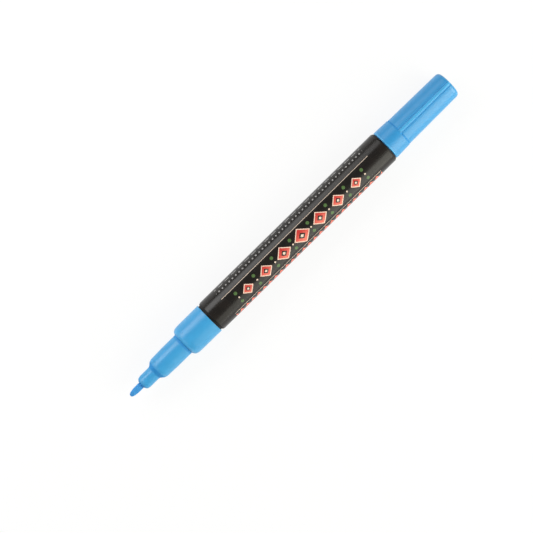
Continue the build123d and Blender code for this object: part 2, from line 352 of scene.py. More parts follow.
def rounded(*corners):
    """Points along a closed lathe outline, with an arc at each corner.

    A corner is (x, radius, rounding), or (x, radius) for a fine edge.
    """
    places = np.array([corner[:2] for corner in corners])
    roundings = np.array([(*corner, FINE_EDGE)[2] for corner in corners])
    towards = np.roll(places, -1, axis=0) - places
    spans = np.linalg.norm(towards, axis=1)
    onward = towards / spans[:, None]
    backward = -np.roll(onward, 1, axis=0)
    turns = np.arccos(np.clip((onward * -backward).sum(axis=1), -1, 1))
    reaches = roundings * np.tan(turns / 2)
    crowding = np.maximum((reaches + np.roll(reaches, -1)) / spans, 1)
    reaches /= np.maximum(crowding, np.roll(crowding, 1))
    points = []
    for place, before, after, turn, reach in zip(places, backward, onward, turns, reaches):
        if reach < TOO_SMALL:
            points.append(place)
            continue
        middle = (before + after) / np.linalg.norm(before + after)
        centre = place + middle * reach / math.sin(turn / 2)
        start, stop = place + before * reach - centre, place + after * reach - centre
        steps = max(2, math.ceil(ARC_STEPS * turn / (math.pi / 2)))
        for part in np.linspace(0, 1, steps + 1):
            bend = math.sin((1 - part) * turn) * start + math.sin(part * turn) * stop
            points.append(centre + bend / math.sin(turn))
    return np.array(points)


def bead(sizes, middle, radius, gap=0.0):
    """Corners of a snap bead on a turned face, or of its groove, from front to back."""
    half, height = sizes.width / 2 + gap, sizes.height
    return [
        (middle - half, radius, 0),
        (middle - half + height, radius + height, 0),
        (middle + half - height, radius + height, 0),
        (middle + half, radius, 0),
    ]


def with_rows(outline, start, stop, spacing):
    """The outline with more points on its straight runs between two places along the marker."""
    points = list(map(tuple, outline))
    clear = spacing / 8
    for place in np.arange(start, stop, spacing):
        for n, (one, other) in enumerate(zip(points, points[1:])):
            if one[0] + clear < place < other[0] - clear:
                part = (place - one[0]) / (other[0] - one[0])
                points.insert(n + 1, (place, one[1] + part * (other[1] - one[1])))
                break
    return np.array(points)


def shade_smooth(mesh):
    """Smooth shading whose normals follow the large faces, so that narrow roundings stay crisp."""
    faces = mesh.polygons
    corner_vertex = np.zeros(len(mesh.loops), np.int32)
    mesh.loops.foreach_get("vertex_index", corner_vertex)
    corners = np.zeros(len(faces), np.int32)
    faces.foreach_get("loop_total", corners)
    areas = np.zeros(len(faces), np.float32)
    faces.foreach_get("area", areas)
    facing = np.zeros(len(faces) * 3, np.float32)
    faces.foreach_get("normal", facing)
    weighted = np.repeat(facing.reshape(-1, 3) * areas[:, None], corners, axis=0)
    normals = np.zeros((len(mesh.vertices), 3))
    np.add.at(normals, corner_vertex, weighted)
    normals /= np.maximum(np.linalg.norm(normals, axis=1, keepdims=True), 1e-20)
    faces.foreach_set("use_smooth", np.ones(len(faces), bool))
    mesh.normals_split_custom_set_from_vertices(normals)


def placed(name, data):
    """An object in the scene."""
    made = bpy.data.objects.new(name, data)
    bpy.context.scene.collection.objects.link(made)
    return made


def solid(name, vertices, faces):
    """A closed mesh object with its faces turned outwards."""
    mesh = bpy.data.meshes.new(name)
    mesh.from_pydata([tuple(v) for v in vertices], [], faces)
    shell = bmesh.new()
    shell.from_mesh(mesh)
    bmesh.ops.recalc_face_normals(shell, faces=shell.faces)
    shell.to_mesh(mesh)
    shell.free()
    mesh.update()
    shade_smooth(mesh)
    return placed(name, mesh)


def lathe(name, outline, angles=None, shape=None):
    """An outline of (x, radius) points turned about the marker's axis and closed on itself.

    shape(n, radius, angles) gives the radii and angles of the points round outline point n,
    where the piece isn't round. The outline may run along the axis, where nothing is made.
    """
    if angles is None:
        angles = np.arange(SIDES) * TAU / SIDES
    sides = len(angles)
    vertices, rows = [], []
    for n, (x, radius) in enumerate(outline):
        first = len(vertices)
        if radius < TOO_SMALL:
            rows.append([first] * sides)
            vertices.append((x, 0.0, AXIS_HEIGHT))
            continue
        rows.append(list(range(first, first + sides)))
        radii, turns = shape(n, radius, angles) if shape else (np.full(sides, radius), angles)
        for r, turn in zip(radii, turns):
            vertices.append((x, r * math.sin(turn), AXIS_HEIGHT + r * math.cos(turn)))
    faces = []
    for here, there in zip(rows, rows[1:] + rows[:1]):
        for side in range(sides):
            beside = (side + 1) % sides
            around = (here[side], here[beside], there[beside], there[side])
            corners = list(dict.fromkeys(around))
            if len(corners) > 2:
                faces.append(corners)
    return solid(name, vertices, faces)


def coil(name, sizes, start, stop, radius):
    """An open coil of round wire between two places along the marker."""
    wire = sizes.wire_radius
    steps_per_turn, sides = 40, 16
    steps = sizes.turns * steps_per_turn
    first, last = start + wire, stop - wire
    along = np.array((1.0, 0.0, 0.0))
    vertices, faces = [], []
    for step in range(steps + 1):
        turn = TAU * step / steps_per_turn
        outward = np.array((0.0, math.cos(turn), math.sin(turn)))
        centre = np.array((first + (last - first) * step / steps, 0.0, AXIS_HEIGHT))
        middle = centre + (radius - wire) * outward
        for around in np.arange(sides) * TAU / sides:
            rim = math.cos(around) * outward + math.sin(around) * along
            vertices.append(middle + wire * rim)
    for step in range(steps):
        for side in range(sides):
            here, beside = step * sides + side, step * sides + (side + 1) % sides
            faces.append([here, beside, beside + sides, here + sides])
    faces.append(list(range(sides)))
    faces.append(list(range(steps * sides, steps * sides + sides)))
    return solid(name, vertices, faces)


def dress(piece, material, body, node):
    """Gives a piece its finish and puts it on its body in place of its node."""
    piece.data.materials.append(material)
    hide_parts(node)
    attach(piece, body)


def refinish(node, material):
    """Gives a node of the frame another finish and keeps its shape."""
    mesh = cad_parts[node].data
    mesh.materials.clear()
    mesh.materials.append(material)


def socket_of(sockets, key):
    """A node's socket by place, identifier or name."""
    if isinstance(key, int):
        return sockets[key]
    for socket in sockets:
        if socket.identifier == key:
            return socket
    return sockets[key]


def opaque(value):
    """A colour with its alpha, or a signal as it is."""
    return value if isinstance(value, Signal) else (*value[:3], 1.0)


def scaled(tone, factor):
    """A colour with its light scaled."""
    return [channel * factor for channel in tone]


def arithmetic(operation):
    """The plain and the reflected method of one operator."""

    def plain(self, other):
        return self.math(operation, self, other)

    def reflected(self, other):
        return self.math(operation, other, self)

    return plain, reflected


class Signal:
    """A value in a node tree. Arithmetic on it adds Math nodes."""

    __add__, __radd__ = arithmetic("ADD")
    __sub__, __rsub__ = arithmetic("SUBTRACT")
    __mul__, __rmul__ = arithmetic("MULTIPLY")
    __truediv__, __rtruediv__ = arithmetic("DIVIDE")
    __pow__, __rpow__ = arithmetic("POWER")

    def __init__(self, wiring, socket):
        self.wiring = wiring
        self.socket = socket

    def math(self, operation, *values):
        """The result of a Math node."""
        return self.wiring.node("ShaderNodeMath", {"operation": operation}, dict(enumerate(values)))

    def __abs__(self):
        return self.math("ABSOLUTE", self)

    def nearest(self):
        """The nearest whole number."""
        return self.math("ROUND", self)

    def low(self, other):
        """The lower of two values."""
        return self.math("MINIMUM", self, other)

    def high(self, other):
        """The higher of two values."""
        return self.math("MAXIMUM", self, other)

    def far(self, other):
        """How far a point lies from the origin, with this value and another as its sides."""
        return (self * self + other * other) ** 0.5

    def repeat(self, pitch):
        """How far the value lies from the nearest of a row of evenly spaced ones."""
        return self - (self / pitch).nearest() * pitch

    def fade(self, nothing, full):
        """Rises smoothly from 0 at one value to 1 at the other, which may be the lower one."""
        sockets = {"Value": self, "From Min": nothing, "From Max": full}
        settings = {"interpolation_type": "SMOOTHSTEP"}
        return self.wiring.node("ShaderNodeMapRange", settings, sockets)

    def below(self, limit, soft):
        """1 where the value is lower than a limit, with a soft edge."""
        return self.fade(limit + soft, limit - soft)

    def within(self, half, soft):
        """1 where the value is nearer to 0 than half, with a soft edge."""
        return abs(self).below(half, soft)


class Wiring:
    """Adds nodes to a tree and links them."""

    def __init__(self, tree):
        self.tree = tree
        tree.nodes.clear()

    def node(self, kind, settings=None, sockets=None, output=0):
        """A node of one type, with its settings first, then its sockets' values or links."""
        made = self.tree.nodes.new(kind)
        for name, value in (settings or {}).items():
            setattr(made, name, value)
        for key, value in (sockets or {}).items():
            self.feed(socket_of(made.inputs, key), value)
        return Signal(self, socket_of(made.outputs, output)) if made.outputs else None

    def feed(self, socket, value):
        """Links a signal to a socket, or sets the socket's own value."""
        if isinstance(value, Signal):
            self.tree.links.new(value.socket, socket)
        else:
            socket.default_value = value

    def mix(self, factor, first, second):
        """A colour between two."""
        sockets = {"Factor_Float": factor, "A_Color": opaque(first), "B_Color": opaque(second)}
        return self.node("ShaderNodeMix", {"data_type": "RGBA"}, sockets, "Result_Color")


class Finish(Wiring):
    """A material of one Principled shader.

    It knows where a point lies on the marker, in millimetres: along it, across it and above
    its axis.
    """

    def __init__(self, name, **constants):
        self.material = bpy.data.materials.new(name)
        self.material.use_nodes = True
        super().__init__(self.material.node_tree)
        self.shader = self.node("ShaderNodeBsdfPrincipled")
        self.node("ShaderNodeOutputMaterial", sockets={"Surface": self.shader})
        self.set(**constants)
        where = self.node("ShaderNodeTexCoord", output="Object")
        sockets = {"Vector": where, "Scale": 1 / MM}
        where = self.node("ShaderNodeVectorMath", {"operation": "SCALE"}, sockets)
        split = self.node("ShaderNodeSeparateXYZ", sockets={"Vector": where})
        parts = [Signal(self, socket) for socket in split.socket.node.outputs]
        self.along, self.across, self.above = parts[0], parts[1], parts[2] - AXIS_HEIGHT / MM

    def set(self, **sockets):
        """Feeds the shader's sockets, named with underscores for spaces."""
        for name, value in sockets.items():
            if name.endswith("_Color"):
                value = opaque(value)
            self.feed(self.shader.socket.node.inputs[name.replace("_", " ")], value)

    def turn(self):
        """The angle round the axis, from the top."""
        return self.across.math("ARCTAN2", self.across, self.above)

    def past(self, place):
        """How far a point lies past a place along the marker, in millimetres."""
        return self.along - place / MM

    def spot(self, lengthwise=1.0, crosswise=1.0):
        """A point for a texture, scaled along the marker and across it."""
        parts = (self.along, lengthwise), (self.across, crosswise), (self.above, crosswise)
        values = [part if scale == 1 else part * scale for part, scale in parts]
        return self.node("ShaderNodeCombineXYZ", sockets=dict(zip("XYZ", values)))

    def noise(self, scale, detail=2.0, roughness=0.5, **stretch):
        """Smooth random variation round one half."""
        sockets = {"Scale": scale, "Detail": detail, "Roughness": roughness}
        sockets["Vector"] = self.spot(**stretch)
        return self.node("ShaderNodeTexNoise", sockets=sockets)

    def scuffs(self, scale):
        """Sparse fine scratches along the marker: 1 on a scratch and 0 elsewhere."""
        sockets = {"Vector": self.spot(lengthwise=0.12), "Scale": scale, "Randomness": 1.0}
        settings = {"feature": "DISTANCE_TO_EDGE"}
        cells = self.node("ShaderNodeTexVoronoi", settings, sockets, "Distance")
        return cells.fade(0.03, 0.0) * self.noise(0.35).fade(0.52, 0.68)

    def bump(self, height, depth, below=None):
        """A normal from a height, in metres deep at full height."""
        sockets = {"Height": height, "Distance": depth, "Strength": 1.0}
        if below is not None:
            sockets["Normal"] = below
        return self.node("ShaderNodeBump", sockets=sockets)


def blue_plastic(name, colours, tones=None):
    """Satin blue moulding: faint flow streaks, fine grain and a few scuffs.

    tones(finish) lists the other tones, painted shade and painted highlights among them,
    each as its share at a point, its colour and the roughness that it adds.
    """
    finish = Finish(name, IOR=1.6)
    flow = finish.noise(0.5, detail=3.0, lengthwise=0.18)
    cloud = finish.noise(0.22)
    grain = finish.noise(9.0, detail=3.0, roughness=0.6)
    scratch = finish.scuffs(0.8)
    streaks = (flow * 0.6 + cloud * 0.4).fade(0.3, 0.75)
    body = finish.mix(streaks, colours.blue, colours.blue_deep)
    dull = 0.0
    for where, tone, matt in tones(finish) if tones else ():
        body = finish.mix(where, body, tone)
        dull = dull + where * matt
    finish.set(
        Base_Color=body,
        Roughness=0.28 + 0.06 * cloud + 0.04 * grain + 0.1 * scratch + dull,
        Normal=finish.bump(grain - 0.6 * scratch, 0.0025 * MM),
    )
    return finish.material


def black_plastic(colours):
    """Black ink tube: satin, with a faint brown cast and fine grain."""
    finish = Finish("black_moulding", IOR=1.35)
    cloud = finish.noise(0.6).fade(0.35, 0.7)
    grain = finish.noise(7.0, detail=3.0)
    finish.set(
        Base_Color=finish.mix(cloud, colours.black, scaled(colours.black, 0.6)),
        Roughness=0.46 + 0.1 * grain,
        Normal=finish.bump(grain, 0.008 * MM),
    )
    return finish.material


def printed_film(colours, sizes):
    """Black film with a generic print: a chain of lozenges, dots, fine lines and rows of marks."""
    finish = Finish("printed_film", IOR=1.45)
    radius = girth("label_sleeve") / MM
    middle = sum(ends("label_sleeve")) / 2
    u, v = finish.past(middle), finish.turn() * radius
    chain = v - sizes.chain_offset / MM
    soft = 0.05

    pitch, half = sizes.chain_pitch / MM, sizes.chain_half
    shrink, edge = 0.105, 0.02
    number = (u / pitch).nearest()
    beside = u - number * pitch
    size = 1.0 - shrink * abs(number)
    shape = abs(beside) / (sizes.lozenge_reach / MM) + abs(chain) / (sizes.lozenge_rise / MM)
    in_chain = abs(u).fade((half + 0.5) * pitch, (half + 0.49) * pitch)
    lozenge, eye, pupil = (
        (shape - size * part).fade(edge, -edge) * in_chain for part in (1.0, 0.4, 0.2)
    )
    border_inset, border_half, border_soft = 0.075, 0.06, 0.025
    border = (shape - size + border_inset).within(border_half, border_soft) * in_chain

    dot_radius, dot_rise, tiny_radius = 0.62, 1.9, 0.3
    between = abs(beside) - pitch / 2
    near_chain = abs(u).fade((half + 0.62) * pitch, (half + 0.6) * pitch)
    green = between.far(abs(chain) - dot_rise).below(dot_radius, soft) * near_chain
    tiny = between.far(chain).below(tiny_radius, soft) * near_chain

    run = abs(u).below(sizes.run / MM, soft)
    line_half, line_soft = 0.09, 0.04
    hairline = (abs(chain) - sizes.line_offset / MM).within(line_half, line_soft) * run
    bead_pitch, bead_radius = 1.6, 0.34
    bead_place = u.repeat(bead_pitch).far(chain - sizes.bead_row / MM)
    beads = bead_place.below(bead_radius, soft) * run
    dash_pitch, dash_reach, dash_rise = 3.2, 1.05, 0.18
    dash_line = (chain - sizes.dash_row / MM).within(dash_rise, soft)
    dashes = u.repeat(dash_pitch).within(dash_reach, soft) * dash_line * run
    point_pitch, point_reach, point_height = 2.7, 1.2, 1.9
    down = 0.0 - chain - sizes.point_row / MM
    flanks = abs(u.repeat(point_pitch)) / point_reach - down / point_height
    points = flanks.below(0.0, soft) * down.below(point_height, soft) * run

    back_row, back_pitch, back_radius, back_line_row = 16.2, 4.4, 0.6, 14.4
    back_place = u.repeat(back_pitch).far(abs(v) - back_row)
    back_dots = back_place.below(back_radius, soft) * run
    back_line = (abs(v) - back_line_row).within(0.1, line_soft) * run
    seam_edge = math.pi * radius
    seam = abs(v).fade(seam_edge - 0.16, seam_edge - 0.1)

    worn = finish.noise(5.0, detail=3.0, roughness=0.65).fade(0.28, 0.42)
    cream = border.high(hairline * 0.85).high(tiny).high(pupil).high(back_line * 0.8) * worn
    chalky = beads.high(dashes) * worn * 0.9
    red = (lozenge * (1.0 - eye) * worn).high(back_dots.high(points) * worn)
    coral = finish.mix(chain.fade(2.4, -2.4), colours.coral, colours.coral_light)
    cloud = finish.noise(0.3)
    tone = finish.mix(cloud.fade(0.35, 0.7), colours.film, scaled(colours.film, 0.62))
    for where, ink in (
        (red, coral),
        (green * worn, colours.leaf),
        (cream, colours.cream),
        (chalky, colours.chalk),
        (seam * 0.5, scaled(colours.film, 0.4)),
    ):
        tone = finish.mix(where, tone, ink)

    inked = red.high(cream).high(green).high(chalky)
    scratch = finish.scuffs(0.7)
    ripple = finish.noise(0.45, detail=1.0, lengthwise=0.35)
    relief = inked * 0.4 - seam - 0.4 * scratch
    finish.set(
        Base_Color=tone,
        Roughness=0.22 + 0.06 * cloud + 0.1 * inked + 0.15 * scratch,
        Normal=finish.bump(relief, 0.012 * MM, finish.bump(ripple, 0.025 * MM)),
    )
    return finish.material


def inked_fibre(colours):
    """Pressed fibre rod soaked with pigment: lengthwise strands, wetter towards the tip."""
    finish = Finish("inked_fibre", IOR=1.42)
    strands = finish.noise(1.6, detail=4.0, roughness=0.6, lengthwise=0.25, crosswise=4.0)
    cloud = finish.noise(0.9)
    from_tip = finish.past(ends("nib")[0])
    root, tip = from_tip.fade(4.3, 5.7), from_tip.fade(1.6, 0.2)
    grooves = (strands * 0.75 + cloud * 0.25).fade(0.62, 0.38)
    tone = finish.mix(grooves, colours.nib, colours.nib_dark)
    # The root gets painted shade where the nib goes into the nose.
    tone = finish.mix(root * 0.8, tone, colours.nib_painted_root_shade)
    tone = finish.mix(tip * 0.4, tone, colours.nib_dark)
    finish.set(
        Base_Color=tone,
        Roughness=0.72 - 0.22 * tip + 0.12 * strands,
        Normal=finish.bump(strands, 0.014 * MM),
    )
    return finish.material


def natural_white(colours):
    """Unpigmented moulding: milky, with faint flow lines. It is made once, for all its pieces."""
    name = "natural_white"
    if name in bpy.data.materials:
        return bpy.data.materials[name]
    finish = Finish(name, IOR=1.5)
    flow = finish.noise(0.8, detail=3.0, lengthwise=0.3).fade(0.3, 0.75)
    grain = finish.noise(6.0, detail=3.0)
    finish.set(
        Base_Color=finish.mix(flow, colours.white, scaled(colours.white, 0.88)),
        Roughness=0.4 + 0.1 * grain,
        Normal=finish.bump(grain, 0.006 * MM),
    )
    return finish.material


def seat_rubber(colours):
    """Matt moulded rubber with a dusty bloom."""
    finish = Finish("seat_rubber", IOR=1.52)
    bloom = finish.noise(1.2, detail=4.0)
    finish.set(
        Base_Color=finish.mix(bloom.fade(0.4, 0.75), colours.rubber, scaled(colours.rubber, 2.2)),
        Roughness=0.7 + 0.15 * bloom,
        Normal=finish.bump(bloom, 0.01 * MM),
    )
    return finish.material


def drawn_wire(colours):
    """Drawn steel wire with fine marks."""
    finish = Finish("drawn_wire", Metallic=1.0)
    marks = finish.noise(3.0, detail=3.0, lengthwise=6.0)
    finish.set(
        Base_Color=finish.mix(marks, colours.wire, scaled(colours.wire, 0.8)),
        Roughness=0.24 + 0.16 * marks,
        Normal=finish.bump(marks, 0.004 * MM),
    )
    return finish.material


def ball_steel(colours):
    """Polished ball, slightly dulled by the pigment."""
    finish = Finish("ball_steel", Metallic=1.0)
    dull = finish.noise(0.9, detail=4.0)
    finish.set(
        Base_Color=finish.mix(dull.fade(0.35, 0.7), colours.ball, scaled(colours.ball, 0.86)),
        Roughness=0.1 + 0.16 * dull,
    )
    return finish.material


class MARKER_OT_nib(bpy.types.Operator):
    """Build the fibre nib"""

    bl_idname = "marker.nib"
    bl_label = "Nib"

    def execute(self, context):
        sizes, colours = context.scene.marker_nib, context.scene.marker_colours
        start, stop = ends("nib")
        radius = girth("nib")
        tip, chamfer = sizes.tip_length, sizes.end_chamfer
        tip_rows, body_rows, steps_per_fibre, seed = 25, 12, 4, 4
        outline = []
        for bend in np.linspace(0, math.pi / 2, tip_rows):
            x = start + tip * (1 - math.cos(bend))
            outline.append((x, radius * math.sin(bend) ** sizes.tip_bluntness))
        outline += [(x, radius) for x in np.linspace(start + tip, stop - chamfer, body_rows)[1:]]
        outline += [(stop, radius - chamfer), (stop, 0.0)]
        steps = sizes.fibre_count * steps_per_fibre
        angles = np.arange(steps) * TAU / steps
        depths = np.random.default_rng(seed).uniform(0.3, 1.0, sizes.fibre_count)
        waves = 0.5 + 0.5 * np.cos(angles * sizes.fibre_count)
        grooves = np.repeat(depths, steps_per_fibre) * waves

        def fibres(n, ring, turns):
            return ring - sizes.fibre_depth * grooves * ring / radius, turns

        piece = lathe("fibre_nib", outline, angles, fibres)
        dress(piece, inked_fibre(colours), "nib", "nib")
        return {"FINISHED"}


class MARKER_OT_front(bpy.types.Operator):
    """Build the front moulding: nose, shoulder, cap seat, collar and the guides inside"""

    bl_idname = "marker.front"
    bl_label = "Front moulding"

    def execute(self, context):
        sizes, colours = context.scene.marker_front, context.scene.marker_colours
        start, stop = ends("front_section")
        collar = girth("front_section")
        shoulder = start + sizes.nose_length
        seat = shoulder + sizes.shoulder_length
        root = seat + sizes.seat_length
        back = stop - sizes.spigot_length
        face = start - sizes.face_lead
        chamber = start + sizes.chamber_setback
        guide_end = chamber + sizes.guide_length
        valve = stop - sizes.valve_depth
        outline = rounded(
            (face, sizes.mouth_radius, sizes.mouth_round),
            (face, sizes.face_radius, sizes.mouth_round),
            (face + sizes.crown_length, sizes.crown_radius, sizes.crown_round),
            (face + sizes.taper_length, sizes.nose_radius, sizes.taper_round),
            (shoulder, sizes.nose_radius, sizes.nose_root_round),
            (shoulder + sizes.cone_length, sizes.cone_radius),
            (seat, sizes.seat_radius - sizes.seat_lead_drop, sizes.shoulder_round),
            (seat + sizes.seat_lead_length, sizes.seat_radius),
            (root - sizes.root_lead, sizes.seat_radius, sizes.root_round),
            (root + sizes.step_length, collar - sizes.step_drop, sizes.step_round),
            (root + sizes.brow_length, collar - sizes.brow_drop, sizes.brow_round),
            (root + sizes.draft_length, collar - sizes.collar_draft, sizes.brow_round),
            (back, collar, sizes.collar_back_round),
            (back, sizes.spigot_radius),
            *bead(context.scene.marker_bead, back + sizes.bead_setback, sizes.spigot_radius),
            (stop - sizes.spigot_chamfer, sizes.spigot_radius),
            (stop, sizes.spigot_radius - sizes.spigot_chamfer),
            (stop, sizes.valve_radius),
            (valve, sizes.valve_radius),
            (valve, sizes.chamber_radius),
            (guide_end + FINE_EDGE, sizes.chamber_radius, 0),
            (guide_end, sizes.chamber_radius, 0),
            (chamber, sizes.chamber_radius, 0),
            (chamber - FINE_EDGE, sizes.chamber_radius, 0),
            (chamber - FINE_EDGE, sizes.bore_radius),
            (start + sizes.mouth_depth, sizes.bore_radius),
        )
        on_wall = np.isclose(outline[:, 1], sizes.chamber_radius)
        guided = on_wall & np.isin(outline[:, 0], (chamber, guide_end))
        half = sizes.guide_thickness / 2
        tip_angle = math.asin(half / sizes.guide_radius)
        foot_angle = math.asin(half / sizes.chamber_radius)
        tip_steps = 3

        def guides(n, radius, turns):
            radii, angles = np.full(len(turns), radius), turns.copy()
            for guide in range(sizes.guide_count) if guided[n] else ():
                index = guide * (SIDES // sizes.guide_count)
                middle = guide * TAU / sizes.guide_count
                for step in range(-tip_steps, tip_steps + 1):
                    radii[index + step] = sizes.guide_radius
                    angles[index + step] = middle + tip_angle * step / tip_steps
                for side in (-1, 1):
                    angles[index + side * (tip_steps + 1)] = middle + side * foot_angle
            return radii, angles

        def tones(finish):
            cone_half, foot_half, brow_half, soft = sizes.cone_length * 0.64 / MM, 0.5, 0.45, 0.35
            # Painted shade on the cone behind the nose and at the collar's foot.
            cone = finish.past(shoulder + sizes.cone_length * 0.5).within(cone_half, 0.4)
            foot = finish.past(root - sizes.root_lead * 1.8).within(foot_half, soft)
            # Painted highlight on the collar's sloping brow.
            brow = finish.past(root + sizes.brow_length * 0.6).within(brow_half, soft)
            # Painted shade in the countersink round the nib.
            mouth = finish.past(face).fade(0.7, 0.2)
            return [
                (brow * 0.65, colours.blue_painted_highlight, 0.0),
                (cone.high(foot * 0.8).high(mouth * 0.9), colours.blue_painted_shade, 0.45),
            ]

        piece = lathe("front_moulding", outline, shape=guides)
        material = blue_plastic("blue_front", colours, tones)
        dress(piece, material, "barrel", "front_section")
        return {"FINISHED"}


class MARKER_OT_barrel(bpy.types.Operator):
    """Build the black ink tube"""

    bl_idname = "marker.barrel"
    bl_label = "Ink tube"

    def execute(self, context):
        sizes, beads = context.scene.marker_barrel, context.scene.marker_bead
        first, stop = ends("barrel")
        start = first + sizes.lip_setback
        radius = girth("barrel")
        front = start + sizes.lip_length
        lip = radius - sizes.lip_depth
        bore = radius - sizes.wall
        flange = stop - sizes.flange_thickness
        outline = rounded(
            (start, bore),
            (start, lip),
            (front, lip),
            (front, radius, sizes.front_round),
            (stop, radius, sizes.back_round),
            (stop, bore + sizes.flange_step),
            (flange, bore + sizes.flange_step),
            (flange, bore),
            *reversed(bead(beads, stop - sizes.back_groove, bore, beads.gap)),
            *reversed(bead(beads, start + sizes.front_groove, bore, beads.gap)),
        )
        piece = lathe("ink_tube", outline)
        material = black_plastic(context.scene.marker_colours)
        dress(piece, material, "barrel", "barrel")
        return {"FINISHED"}


class MARKER_OT_film(bpy.types.Operator):
    """Build the printed film round the ink tube"""

    bl_idname = "marker.film"
    bl_label = "Printed film"

    def execute(self, context):
        sizes = context.scene.marker_film
        start, stop = ends("label_sleeve")
        radius = girth("label_sleeve")
        inner = radius - sizes.thickness
        outline = rounded(
            (start, inner, 0),
            (start, radius, sizes.edge_round),
            (stop, radius, sizes.edge_round),
            (stop, inner, 0),
        )
        piece = lathe("film_sleeve", outline)
        material = printed_film(context.scene.marker_colours, sizes)
        dress(piece, material, "barrel", "label_sleeve")
        return {"FINISHED"}


class MARKER_OT_tail(bpy.types.Operator):
    """Build the tail moulding with the post that the cap sits on"""

    bl_idname = "marker.tail"
    bl_label = "Tail moulding"

    def execute(self, context):
        sizes = context.scene.marker_tail
        start, stop = ends("tail_plug")
        front = start + sizes.plug_length
        face = front + sizes.flange_thickness
        plug_bore = sizes.plug_radius - sizes.wall
        post_bore = sizes.post_radius - sizes.wall
        outline = rounded(
            (start, plug_bore),
            (start, sizes.plug_radius - sizes.plug_chamfer),
            (start + sizes.plug_chamfer, sizes.plug_radius),
            *bead(context.scene.marker_bead, start + sizes.bead_setback, sizes.plug_radius),
            (front, sizes.plug_radius),
            (front, sizes.flange_radius),
            (face, sizes.flange_radius, FINE_EDGE * 2),
            (face, sizes.post_radius, FINE_EDGE * 3),
            (stop, sizes.post_radius, sizes.post_round),
            (stop, 0.0, 0),
            (stop - sizes.wall, 0.0, 0),
            (stop - sizes.wall, post_bore, FINE_EDGE * 4),
            (face, post_bore),
            (front, plug_bore),
        )
        piece = lathe("tail_moulding", outline)
        material = blue_plastic("blue_tail", context.scene.marker_colours)
        dress(piece, material, "barrel", "tail_plug")
        return {"FINISHED"}


def smooth(value):
    """Rises smoothly from 0 to 1 between those values."""
    held = np.clip(value, 0, 1)
    return held * held * (3 - 2 * held)


def rib_angles(sizes):
    """Angles round the cap, close together at the ribs."""
    rib_steps, panel_steps, margin = 75, 38, 1.1
    reach = sizes.rib_half_width + sizes.rib_edge + sizes.groove_width + sizes.groove_fade
    near = np.linspace(-reach * margin, reach * margin, rib_steps) / sizes.ring_radius
    spacing = TAU / sizes.rib_count
    between = np.linspace(near[-1], spacing + near[0], panel_steps)[1:-1]
    one = np.concatenate([near, between])
    return np.concatenate([rib * spacing + one for rib in range(sizes.rib_count)])


def panel_depth(sizes, past_ring, turns):
    """How far the cap lies below its round outside, at one place along it."""
    spacing = TAU / sizes.rib_count
    off = np.abs((turns + spacing / 2) % spacing - spacing / 2) * sizes.ring_radius
    half, crest, step_width = sizes.rib_half_width, sizes.rib_crest_radius, sizes.step_width
    sag = crest - np.sqrt(crest**2 - np.minimum(off, half) ** 2)
    fall = smooth((off - half) / sizes.rib_edge)
    rise = smooth((off - half - sizes.rib_edge - sizes.groove_width) / sizes.groove_fade)
    below = sag * (1 - fall) + fall * (sizes.recess + sizes.groove_depth * (1 - rise))
    past_channel = past_ring - step_width - sizes.channel_width / 2
    channel = 1 - smooth(past_channel / sizes.channel_width)
    foot = fall * (sizes.recess + sizes.groove_depth * channel)
    return smooth(past_ring / step_width) * np.maximum(below, foot)


class MARKER_OT_cap(bpy.types.Operator):
    """Build the ribbed cap"""

    bl_idname = "marker.cap"
    bl_label = "Cap"

    def execute(self, context):
        sizes, colours = context.scene.marker_cap, context.scene.marker_colours
        first, stop = ends("cap")
        start = first + sizes.mouth_setback
        ring = first + sizes.ring_length
        floor = stop - sizes.end_thickness
        bore_end = first + sizes.bore_depth
        rim = stop - sizes.end_crown
        gate_floor = stop - sizes.gate_depth
        outline = rounded(
            (start, sizes.bore_radius + sizes.lead_chamfer),
            (start, sizes.mouth_radius, sizes.mouth_round),
            (ring, sizes.ring_radius, 0),
            (rim, sizes.end_radius, sizes.end_round),
            (stop, sizes.gate_radius * 2, sizes.gate_radius),
            (stop, sizes.gate_radius),
            (gate_floor, sizes.gate_radius * 0.8),
            (gate_floor, 0.0, 0),
            (floor, 0.0, 0),
            (floor, sizes.liner_radius),
            (bore_end, sizes.liner_radius),
            (bore_end, sizes.bore_radius),
            (start + sizes.lead_chamfer, sizes.bore_radius, FINE_EDGE * 2),
        )
        end = int(np.argmin(outline[:, 1]))
        outer, inner = outline[: end + 1], outline[end + 1 :]
        step = sizes.step_width
        outer = with_rows(outer, ring - 2 * step, ring + 8 * step, step / 4)
        outer = with_rows(outer, ring + 10 * step, rim - sizes.end_round, 12 * step)
        outline = np.concatenate([outer, inner])
        way = np.gradient(outer, axis=0)
        lean = np.clip(way[:, 0] / np.maximum(np.hypot(way[:, 0], way[:, 1]), 1e-12), 0, 1)

        def panels(n, radius, turns):
            if n >= len(outer):
                return np.full(len(turns), radius), turns
            return radius - lean[n] * panel_depth(sizes, outline[n][0] - ring, turns), turns

        def tones(finish):
            past_ring = finish.past(ring)
            off = abs(finish.turn().repeat(TAU / sizes.rib_count)) * sizes.ring_radius / MM
            reach = finish.across.far(finish.above) - sizes.end_radius / MM
            rib = past_ring.fade(0.1, 0.5) * reach.fade(-1.3, -0.7)
            # Painted shade in the grooves along the ribs and in the channel at the foot of the
            # ring.
            groove = (off - sizes.groove_place / MM).within(0.26, 0.24) * rib
            channel = (past_ring - 0.15).within(0.3, 0.2) * off.fade(0.5, 0.9)
            # Painted highlight on the rib crests and on the mouth's rounded edge.
            crest = off.fade(0.62, 0.3) * rib
            mouth = finish.past(start).fade(0.8, 0.3)
            return [
                (0.8, colours.blue_dense, 0.0),
                ((channel * 0.9).high(groove * 0.5), colours.blue_painted_shade, 0.4),
                (crest.high(mouth * 0.8), colours.blue_painted_highlight, 0.0),
            ]

        piece = lathe("ribbed_cap", outline, rib_angles(sizes), panels)
        dress(piece, blue_plastic("blue_cap", colours, tones), "cap", "cap")
        return {"FINISHED"}


